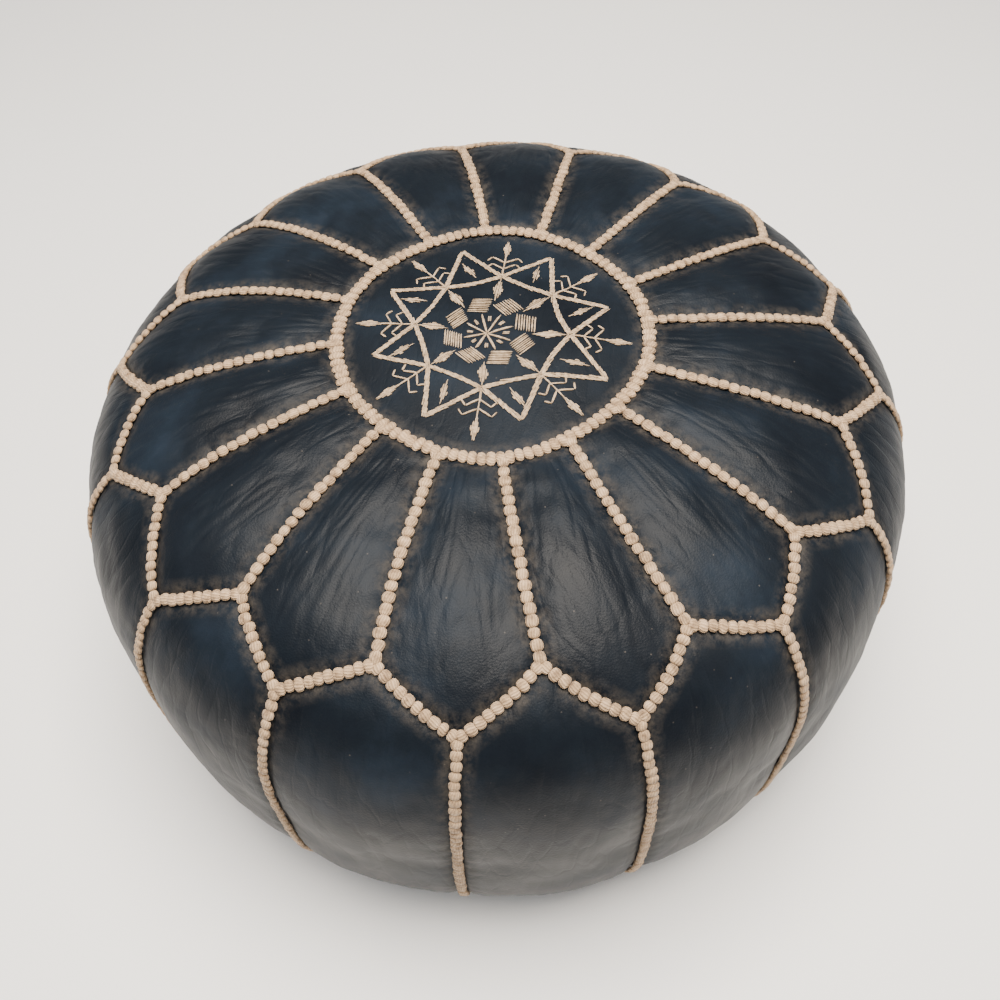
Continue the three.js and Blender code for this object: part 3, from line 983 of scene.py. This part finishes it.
def sew(balls, line, size, lift, chance):
    """Sets stitches along a line, one between each pair of places."""
    points, outward = cover_frames(spaced(line, size[0]), lift)
    for k in range(len(points) - 1):
        step = points[k + 1] - points[k]
        length = np.linalg.norm(step)
        along = step / length
        out = outward[k] + outward[k + 1]
        out = out - along * (out @ along)
        out /= np.linalg.norm(out)
        middle = (points[k] + points[k + 1]) / 2 + out * chance.normal(0, 0.12 * MM)
        middle = middle + np.cross(out, along) * chance.normal(0, 0.2 * MM)
        bead(balls, middle, along, out, (length * 1.06, size[1], size[2]), chance)


class POUF_OT_stitching(bpy.types.Operator):
    """Sews the thick hand stitching over every seam of the cover"""

    bl_idname = "pouf.stitching"
    bl_label = "Seam stitching"

    def execute(self, context):
        chance = np.random.default_rng(5)
        s = settings()
        seams = all_seams(SEAM_STEP)
        lift = {"base": 0.4 * MM}
        groups = {
            "petal_stitching": [("ring", s.ring_stitch), ("ray", s.ray_stitch)],
            "zigzag_stitching": [("zigzag", s.zigzag_stitch)],
            "side_stitching": [("down", s.side_stitch), ("base", s.base_stitch)],
        }
        for node, kinds in groups.items():
            balls = Balls(10, 6)
            for kind, size in kinds:
                for line in seams[kind]:
                    sew(balls, line, size, lift.get(kind, 0.9 * MM), chance)
            piece = balls.piece(node.replace("stitching", "stitches"))
            settle(piece, "seam_thread", node)
        return {"FINISHED"}


def strand(balls, start, end, width, lift):
    """One embroidery stitch laid on the medallion between two places (x, y)."""
    a, b = np.array(medallion_point(*start, lift)), np.array(medallion_point(*end, lift))
    along = b - a
    length = np.linalg.norm(along)
    along /= length
    across = np.cross((0, 0, 1), along)
    across /= np.linalg.norm(across)
    x, y, z = balls.ball.T
    turn, reach = np.arctan2(y, x), np.hypot(x, y) ** 0.55
    balls.lay(
        (a + b) / 2
        + np.outer(z * length / 2, along)
        + np.outer(reach * np.cos(turn) * width / 2, across)
        + np.outer(reach * np.sin(turn) * width * 0.42, np.cross(along, across))
    )


def polar(radius, angle):
    return (radius * math.cos(angle), radius * math.sin(angle))


def mix(a, b, t):
    return (a[0] + (b[0] - a[0]) * t, a[1] + (b[1] - a[1]) * t)


def shifted(p, direction, distance):
    return (p[0] + direction[0] * distance, p[1] + direction[1] * distance)


def across_of(a, b):
    length = math.hypot(b[0] - a[0], b[1] - a[1])
    return (-(b[1] - a[1]) / length, (b[0] - a[0]) / length)


BURST_SHIFT = (-2.5 * MM, -5.5 * MM)  # the burst is sewn off the middle of the star


class Needle:
    """Lays embroidery stitches one by one, each a little off true."""

    def __init__(self, width, seed):
        self.balls = Balls(6, 6)
        self.width = width
        self.chance = np.random.default_rng(seed)

    def stray(self, p, by=0.14 * MM):
        """A needle hole: a little off true, and drawn towards the burst's own middle near it."""
        pull = max(0, 1 - math.hypot(*p) / (0.5 * RING_RADIUS))
        x = p[0] + BURST_SHIFT[0] * pull + self.chance.normal(0, by)
        return (x, p[1] + BURST_SHIFT[1] * pull + self.chance.normal(0, by))

    def stitch(self, a, b, width=None, lift=0.35 * MM):
        width = (width or self.width) * (1 + self.chance.normal(0, 0.08))
        strand(self.balls, self.stray(a), self.stray(b), width, lift + abs(self.chance.normal(0, 0.08 * MM)))

    def leaf(self, a, b, half_width, count, skew=0.0):
        """A pointed leaf filled with parallel strands that run its length."""
        side = across_of(a, b)
        for k in range(count):
            place = 2 * (k + 0.5) / count - 1
            trim = 0.46 * abs(place)
            from_end, to_end = trim + skew * max(place, 0), 1 - trim + skew * min(place, 0)
            start = shifted(mix(a, b, from_end), side, place * half_width)
            end = shifted(mix(a, b, to_end), side, place * half_width)
            self.stitch(start, end)

    def block(self, centre, along, length, width, count):
        """A slanting block of parallel strands."""
        side = (-along[1], along[0])
        for k in range(count):
            place = ((k + 0.5) / count - 0.5) * width
            middle = shifted(shifted(centre, side, place), along, place * 0.25)
            self.stitch(shifted(middle, along, -length / 2), shifted(middle, along, length / 2))

    def rope(self, path, step=4.6 * MM):
        """Stem stitch: slanting strands, each starting beside the middle of the last."""
        points = np.array(path)
        gone = np.concatenate([[0], np.cumsum(np.linalg.norm(np.diff(points, axis=0), axis=1))])
        count = max(2, round(gone[-1] / step))
        for k in range(count):
            ends = np.clip([(k - 0.35) / count, (k + 1.25) / count], 0, 1) * gone[-1]
            xs, ys = np.interp(ends, gone, points[:, 0]), np.interp(ends, gone, points[:, 1])
            a, b = (xs[0], ys[0]), (xs[1], ys[1])
            side = across_of(a, b)
            for shift in (-0.9, 0.0, 0.9):
                offset = shift * self.width
                slant = 0.55 * self.width
                self.stitch(shifted(a, side, offset + slant), shifted(b, side, offset - slant))


def eighth(needle, turn):
    """One eighth of the star motif. turn is the direction of its inner corner."""
    unit = RING_RADIUS
    out = (math.cos(turn), math.sin(turn))
    step = math.pi / 8
    inner, next_inner = polar(0.5 * unit, turn), polar(0.5 * unit, turn + 2 * step)
    tip = polar((0.8 + needle.chance.normal(0, 0.022)) * unit, turn + step + needle.chance.normal(0, 0.02))
    needle.rope([inner, tip])
    needle.rope([tip, next_inner])
    bowed = np.linspace(0, 1, 9)
    needle.rope([polar(unit * (0.5 - 0.052 * math.sin(math.pi * t)), turn + 2 * step * t) for t in bowed])
    # The middle burst: a long leaf and a short one.
    needle.stitch((0, 0), polar(0.165 * unit, turn + step), 1.3 * MM)
    needle.stitch(polar(0.04 * unit, turn + step + 0.1), polar(0.15 * unit, turn + step + 0.03), 1.0 * MM)
    needle.leaf(polar(0.075 * unit, turn + 0.05), polar(0.155 * unit, turn + 0.05), 0.9 * MM, 2)
    # A slanting block of strands between the burst and the leaves.
    lean = turn + step + 1.25
    needle.block(polar(0.24 * unit, turn + step), polar(1, lean), 0.14 * unit, 0.125 * unit, 8)
    # The long lozenge that points to the inner corner.
    needle.leaf(polar(0.265 * unit, turn), polar(0.485 * unit, turn), 0.034 * unit, 7, 0.08)
    # A small leaf in the star's triangle.
    away = turn + step
    small = polar(0.5 * unit, away - 0.05)
    needle.leaf(small, polar(0.69 * unit, away + 0.04), 0.026 * unit, 5, 0.15)
    # The spray outside the inner corner: stem, two pairs of hooked twigs and a leaf.
    needle.stitch(inner, polar(0.62 * unit, turn), 1.25 * MM)
    needle.stitch(polar(0.6 * unit, turn), polar(0.74 * unit, turn), 1.25 * MM)
    for foot, reach in ((0.585, 0.08), (0.655, 0.09)):
        for side in (-1, 1):
            root = polar(foot * unit, turn)
            across = (-math.sin(turn) * side, math.cos(turn) * side)
            elbow = shifted(shifted(root, out, 0.056 * unit), across, reach * unit)
            end = shifted(shifted(elbow, out, -0.042 * unit), across, 0.03 * unit)
            needle.stitch(root, elbow, 1.3 * MM)
            needle.stitch(elbow, end, 1.2 * MM)
    needle.leaf(polar(0.7 * unit, turn), polar(0.915 * unit, turn), 0.027 * unit, 6, 0.05)


class POUF_OT_embroidery(bpy.types.Operator):
    """Embroiders the eight-fold star on the medallion, strand by strand"""

    bl_idname = "pouf.embroidery"
    bl_label = "Embroidery"

    def execute(self, context):
        needle = Needle(settings().strand, 8)
        for k in range(8):
            eighth(needle, FRONT + RING_LEAN + k * math.pi / 4)
        piece = needle.balls.piece("medallion_star")
        settle(piece, "embroidery_thread", "medallion_embroidery")
        return {"FINISHED"}


# ---- base and zip ----

SLOT = {"half_length": 0.140, "half_width": 0.007}
DISH = {"height": 0.009, "band": 0.040, "rim": 0.018}
RIM_HEIGHT = float(np.interp(ARC["base"], OUTLINE["arc"], OUTLINE["z"]))
COIL = {"length": 0.2664, "y": 0.0023, "z": 0.0091, "radius": 0.0016, "flatten": 0.82}
LOCKSTITCH = {"pitch": 3.4 * MM, "width": 0.8 * MM, "from_middle": 10.5 * MM}
TAPE = {"length": 0.290, "near": 0.0012, "width": 0.016, "bottom": 0.0108, "thickness": 0.0006}


def base_height(x, y):
    """The base lies level on the floor, is drawn up beside the zip and rises to the side panels."""
    past_x, past_y = max(abs(x) - SLOT["half_length"], 0), max(abs(y) - SLOT["half_width"], 0)
    dish = DISH["height"] * float(eased(1 - math.hypot(past_x, past_y) / DISH["band"]))
    rim = float(eased(1 - (BASE_RADIUS - math.hypot(x, y)) / DISH["rim"]))
    return dish + (RIM_HEIGHT - dish) * rim


def base_half(name, side, seed):
    columns, rows = 72, 26
    gap = 0.15 * MM
    bm = bmesh.new()
    verts = bmesh.ops.create_grid(bm, x_segments=columns, y_segments=rows, size=1)["verts"]
    layer = bm.loops.layers.uv.new("Panel")
    seam = []
    u, v = grid_shares(columns, rows)
    for vert, across, down in zip(verts, u, v):
        angle = math.pi * (1 - across)
        at_end = across in (0, 1)
        start = Vector(((SLOT["half_length"] + MM) * math.cos(angle), gap if at_end else SLOT["half_width"]))
        rim = BASE_RADIUS - gap
        end = Vector((rim * math.cos(angle), max(rim * math.sin(angle), gap)))
        spot = start.lerp(end, 1 - down)
        length = (end - start).length
        to_rim, to_slot = length * down, length * (1 - down)
        far = min(to_rim, to_slot)
        seam.append(far)
        pucker = 0.35 * MM * math.sin(angle * 60 + 3 * noise.noise(Vector((spot.x * 50, spot.y * 50, seed))))
        pucker *= math.exp(-far / (7 * MM)) * min(1, length / 0.02)
        lift = 0.6 * MM * noise.noise(Vector((spot.x * 20, spot.y * 20, seed + 3))) * min(1, far / 0.02)
        height = base_height(spot.x, spot.y) + max(0, pucker + 0.3 * MM) + max(0, lift)
        vert.co = (spot.x * side, spot.y * side, height)
    for face in bm.faces:
        for loop in face.loops:
            loop[layer].uv = (loop.vert.co.x + seed, loop.vert.co.y)
    faced(bm, False)
    piece = object_from(name, bm)
    mark_seam(piece.data, seam)
    return walled(piece, settings().leather)


class POUF_OT_base(bpy.types.Operator):
    """Makes the two halves of the base, drawn up to the zip between them"""

    bl_idname = "pouf.base"
    bl_label = "Base"

    def execute(self, context):
        for name, side, seed in (("rear", 1, 31), ("front", -1, 47)):
            piece = base_half(f"base_{name}_skin", side, seed)
            settle(piece, "goatskin", f"base_panel_{name}")
        return {"FINISHED"}


class POUF_OT_zip(bpy.types.Operator):
    """Makes the zip's tapes, coils and stitching, and finishes its metal parts"""

    bl_idname = "pouf.zip"
    bl_label = "Zip"

    def execute(self, context):
        for name, side in (("rear", 1), ("front", -1)):
            self.tape(name, side)
            self.coil(name, side)
        self.stitching()
        for node in ("zip_slider", "zip_pull_tab", "zip_stop_closed_end", "zip_stop_open_end"):
            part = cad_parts[node]
            part.data.materials.clear()
            part.data.materials.append(finish_of("zip_metal"))
        return {"FINISHED"}

    def tape(self, name, side):
        bm = bmesh.new()
        verts = bmesh.ops.create_grid(bm, x_segments=96, y_segments=8, size=1)["verts"]
        for vert in verts:
            x, share = vert.co.x * TAPE["length"] / 2, (vert.co.y + 1) / 2
            y = TAPE["near"] + share * TAPE["width"]
            wave = 0.18 * MM * noise.noise(Vector((x * 70, y * 120, side))) * min(1, share * 2)
            vert.co = (x, y * side, TAPE["bottom"] + TAPE["thickness"] + wave)
        faced(bm, True)
        piece = walled(object_from(f"zip_tape_{name}_cloth", bm, False), TAPE["thickness"])
        settle(piece, "zip_tape", f"zip_tape_{name}")

    def coil(self, name, side):
        turns, steps_a_turn, wire = settings().coil_turns, 8, 0.34 * MM
        bm = bmesh.new()
        around = Matrix.Translation((0, COIL["radius"], 0)) @ Matrix.Rotation(math.pi / 2, 4, "X")
        ring = bmesh.ops.create_circle(bm, cap_ends=False, segments=5, radius=wire, matrix=around)
        bmesh.ops.rotate(
            bm, cent=(0, COIL["radius"], 0), matrix=Matrix.Rotation(math.pi / 2, 3, "X"), verts=ring["verts"]
        )
        steps = turns * steps_a_turn
        bmesh.ops.spin(
            bm,
            geom=bm.verts[:] + bm.edges[:],
            cent=(0, 0, 0),
            axis=(1, 0, 0),
            dvec=(COIL["length"] / steps, 0, 0),
            angle=2 * math.pi * turns,
            steps=steps,
        )
        open_edges = [edge for edge in bm.edges if edge.is_boundary]
        bmesh.ops.holes_fill(bm, edges=open_edges, sides=8)
        bmesh.ops.recalc_face_normals(bm, faces=bm.faces)
        start = -COIL["length"] / 2 + (COIL["length"] / turns / 2 if side < 0 else 0)
        for vert in bm.verts:
            vert.co.x += start
            vert.co.y = vert.co.y * 1.12 + COIL["y"] * side
            vert.co.z = vert.co.z * COIL["flatten"] + COIL["z"]
        piece = object_from(f"zip_coil_{name}_turns", bm)
        settle(piece, "zip_coil", f"zip_coil_{name}")

    def stitching(self):
        """Two rows of lockstitch that hold the tapes to the leather."""
        balls = Balls(6, 4)
        pitch, width = LOCKSTITCH["pitch"], LOCKSTITCH["width"]
        count = round(2 * SLOT["half_length"] / pitch)
        for y in (-LOCKSTITCH["from_middle"], LOCKSTITCH["from_middle"]):
            for k in range(count):
                x = -SLOT["half_length"] + (k + 0.5) * pitch
                height = base_height(x, y) - 0.1 * MM
                balls.lay(balls.ball[:, [2, 0, 1]] * (pitch * 0.42, width / 2, width / 2) + (x, y, height))
        piece = balls.piece("zip_lockstitches")
        settle(piece, "seam_thread")


# ---- bag and filling ----

# How far each lies inside the cover's outline, how high its underside is, and where its profile ends.
BAG = {"lift": -5.2 * MM, "floor": 15.5 * MM, "end_radius": 0.070, "wall": 0.6 * MM}
FILLING = {"lift": -9.2 * MM, "floor": 20.5 * MM, "end_radius": 0.001, "lowest": 19.5 * MM}


class POUF_OT_inside(bpy.types.Operator):
    """Makes the cotton bag and the stuffing inside the cover"""

    bl_idname = "pouf.inside"
    bl_label = "Bag and filling"

    def profile(self, piece, count):
        arc = np.linspace(0, lower_arc(piece["end_radius"]), count)
        dr, dz = np.interp(arc, OUTLINE["arc"], OUTLINE["dr"]), np.interp(arc, OUTLINE["arc"], OUTLINE["dz"])
        r = np.interp(arc, OUTLINE["arc"], OUTLINE["r"]) - dz * piece["lift"]
        z = np.interp(arc, OUTLINE["arc"], OUTLINE["z"]) + dr * piece["lift"]
        r[0] = 0
        return np.maximum(r, 0), np.maximum(z, piece["floor"])

    def turned(self, r, z, steps):
        bm = bmesh.new()
        line = [bm.verts.new((a, 0, b)) for a, b in zip(r, z)]
        edges = [bm.edges.new(pair) for pair in zip(line, line[1:])]
        spun(bm, line, edges, steps)
        return bm

    def execute(self, context):
        r, z = self.profile(BAG, 60)
        bm = self.turned(r, z, 96)
        for vert in bm.verts:
            ripple = noise.noise(vert.co * 30) * 0.8 * MM
            flat = Vector((vert.co.x, vert.co.y, 0))
            if flat.length > 0.02:
                vert.co -= flat.normalized() * abs(ripple)
        bm.normal_update()
        top = max(bm.faces, key=lambda face: face.calc_center_median().z)
        if top.normal.z < 0:
            bmesh.ops.reverse_faces(bm, faces=bm.faces)
        bag = walled(object_from("lining_bag_cloth", bm), BAG["wall"])
        settle(bag, "lining_cotton", "lining_bag")
        r, z = self.profile(FILLING, 64)
        r[-1] = 0
        bm = self.turned(r, z, 96)
        for vert in bm.verts:
            lump = noise.noise(vert.co * 24 + Vector((7, 7, 7))) + 0.5 * noise.noise(vert.co * 60)
            vert.co *= 1 - 0.012 * abs(lump)
            vert.co.z = max(vert.co.z, FILLING["lowest"])
        filling = object_from("filling_fibre", bm)
        settle(filling, "stuffing", "filling")
        return {"FINISHED"}


# ---- stage ----

CAMERA = {
    "lens": 36.3,
    "rise": math.radians(54.0),
    "turn": math.radians(6.5),
    "roll": math.radians(-2.1),
    "distance": 0.727,
    "target": (0.001, 0.0, 0.127),
}
# Name, place in metres, width in metres, power in watts and colour.
LIGHTS = (
    ("key", (0.05, -0.1, 1.8), 1.1, 98, "#fff6ea"),
    ("left", (-1.5, -0.3, 1.6), 1.0, 5, "#eef3ff"),
    ("right", (1.5, -0.4, 1.5), 1.0, 8, "#fffaf4"),
)


def aim(thing, target, roll=0.0):
    back = (Vector(thing.location) - Vector(target)).normalized()
    turn = back.to_track_quat("Z", "Y")
    thing.rotation_mode = "QUATERNION"
    thing.rotation_quaternion = turn @ Matrix.Rotation(roll, 3, "Z").to_quaternion()


class POUF_OT_stage(bpy.types.Operator):
    """Sets up the camera, the soft studio lights and the pale floor"""

    bl_idname = "pouf.stage"
    bl_label = "Studio"

    def execute(self, context):
        scene = context.scene
        camera = bpy.data.objects.new("camera", bpy.data.cameras.new("camera"))
        scene.collection.objects.link(camera)
        scene.camera = camera
        camera.data.lens = CAMERA["lens"]
        camera.data.clip_start = 0.01
        rise, turn = CAMERA["rise"], CAMERA["turn"]
        target = Vector(CAMERA["target"])
        back = Vector((math.sin(turn) * math.cos(rise), -math.cos(turn) * math.cos(rise), math.sin(rise)))
        camera.location = target + back * CAMERA["distance"]
        aim(camera, target, CAMERA["roll"])

        bm = bmesh.new()
        bmesh.ops.create_circle(bm, cap_ends=True, segments=64, radius=6)
        floor = object_from("studio_floor", bm, False)
        material, tree = start_material("Matt painted floor")
        where = add(tree, "TexCoord").outputs["Object"]
        tone = add(tree, "TexNoise", {"Vector": where, "Scale": 3.0, "Detail": 3.0})
        colour = settings().floor_colour[:]
        dimmer = [part * 0.985 for part in colour[:3]] + [1.0]
        shade = add(tree, "ValToRGB", {"Fac": tone.outputs["Fac"]}, [(0.3, dimmer), (0.7, colour)])
        floor.data.materials.append(
            surfaced(material, {"Base Color": shade.outputs["Color"], "Roughness": 0.8})
        )

        world = bpy.data.worlds.new("studio")
        scene.world = world
        world.use_nodes = True
        world.node_tree.nodes["Background"].inputs["Color"].default_value = linear("#eef1f6")
        world.node_tree.nodes["Background"].inputs["Strength"].default_value = 0.36
        for name, place, size, power, colour in LIGHTS:
            data = bpy.data.lights.new(name, "AREA")
            data.shape, data.size, data.energy, data.color = "SQUARE", size, power, linear(colour)[:3]
            lamp = bpy.data.objects.new(name, data)
            scene.collection.objects.link(lamp)
            lamp.location = place
            aim(lamp, (0, 0, 0.15))
        return {"FINISHED"}


class POUF_PT_pieces(bpy.types.Panel):
    bl_label = "Pouf"
    bl_idname = "POUF_PT_pieces"
    bl_space_type = "VIEW_3D"
    bl_region_type = "UI"
    bl_category = "Pouf"

    def draw(self, context):
        for name in PoufSettings.__annotations__:
            self.layout.prop(context.scene.pouf, name)
        for operator in OPERATORS:
            self.layout.operator(operator.bl_idname)


OPERATORS = (
    POUF_OT_stage,
    POUF_OT_panels,
    POUF_OT_medallion,
    POUF_OT_stitching,
    POUF_OT_embroidery,
    POUF_OT_base,
    POUF_OT_zip,
    POUF_OT_inside,
)
CLASSES = (PoufSettings, *OPERATORS, POUF_PT_pieces)


def register():
    for one in CLASSES:
        bpy.utils.register_class(one)
    bpy.types.Scene.pouf = PointerProperty(type=PoufSettings)


def unregister():
    del bpy.types.Scene.pouf
    for one in reversed(CLASSES):
        bpy.utils.unregister_class(one)


def main():
    register()
    for operator in OPERATORS:
        group, name = operator.bl_idname.split(".")
        getattr(getattr(bpy.ops, group), name)()


if __name__ == "__main__":
    main()
